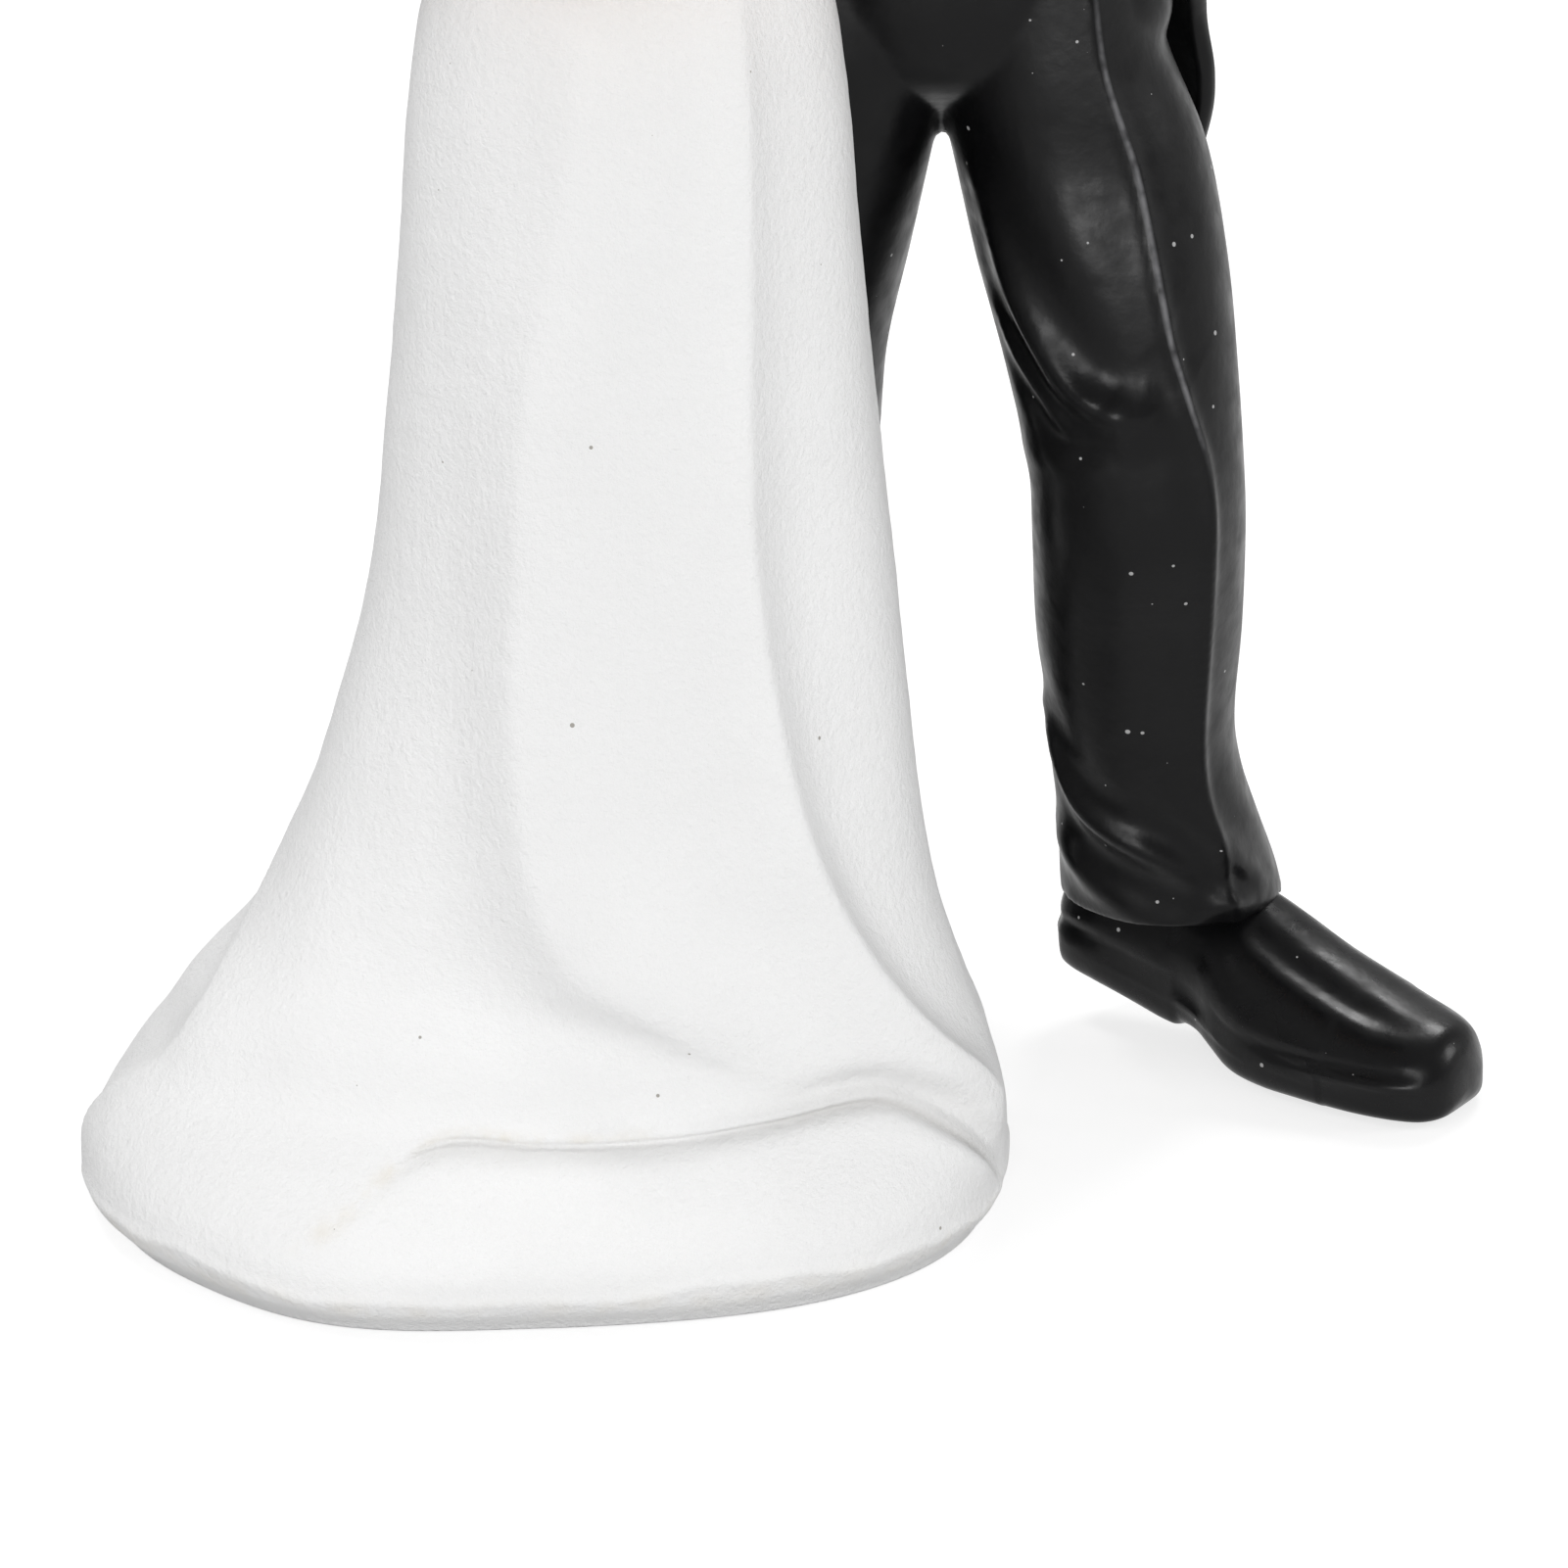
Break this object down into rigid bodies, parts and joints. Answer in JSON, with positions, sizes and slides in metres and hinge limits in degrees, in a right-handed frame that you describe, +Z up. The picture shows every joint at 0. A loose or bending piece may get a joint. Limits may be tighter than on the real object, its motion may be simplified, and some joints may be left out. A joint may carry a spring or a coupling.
{
  "type": "wedding cake topper",
  "caption": "Cast resin bride and groom standing close together, the bride in a long flared gown with a rose bouquet, the groom in black tailcoat; stands on a cake by the gown's flat foot.",
  "frame": {"origin": "middle of the gown's flat foot, on the floor", "axes": "+Z up from the floor, -Y towards the viewer, +X to the viewer's right, where the groom stands"},
  "size_m": [0.0984, 0.0698, 0.1509],
  "materials": {
    "white_resin": "matt white paint over cast resin, finely pitted",
    "black_enamel": "semi-gloss black paint over cast resin",
    "black_gloss": "glossier black paint over cast resin",
    "skin_paint": "satin skin-coloured paint",
    "brown_paint": "satin brown paint",
    "dark_brown_paint": "satin dark brown paint",
    "ivory_paint": "satin ivory paint",
    "green_paint": "satin green paint",
    "blush_paint": "satin pale pink paint",
    "shirt_white": "satin white paint",
    "grey_paint": "satin grey paint"
  },
  "bodies": {
    "root": {"bride_skirt": "white_resin", "bride_bodice": "white_resin", "bride_bust": "skin_paint", "bride_right_arm": "skin_paint", "bride_left_arm": "skin_paint", "bride_head": "skin_paint", "bride_hair": "brown_paint", "bouquet_handle": "ivory_paint", "bouquet_leaves": "green_paint", "bouquet_rose_middle": "blush_paint", "bouquet_rose_1": "blush_paint", "bouquet_rose_2": "blush_paint", "bouquet_rose_3": "blush_paint", "bouquet_rose_4": "blush_paint", "bouquet_rose_5": "blush_paint", "bouquet_rose_6": "blush_paint", "groom_trousers": "black_enamel", "groom_left_shoe": "black_gloss", "groom_right_shoe": "black_gloss", "groom_jacket": "black_enamel", "groom_shirt_front": "shirt_white", "groom_waistcoat": "grey_paint", "groom_left_lapel": "black_gloss", "groom_right_lapel": "black_gloss", "groom_collar": "shirt_white", "groom_bow_tie": "black_gloss", "groom_jacket_button": "black_gloss", "groom_left_sleeve": "black_enamel", "groom_left_cuff": "shirt_white", "groom_left_hand": "skin_paint", "groom_right_sleeve": "black_enamel", "groom_right_cuff": "shirt_white", "groom_right_hand": "skin_paint", "groom_boutonniere": "blush_paint", "groom_head": "skin_paint", "groom_hair": "dark_brown_paint"}
  },
  "joints": []
}
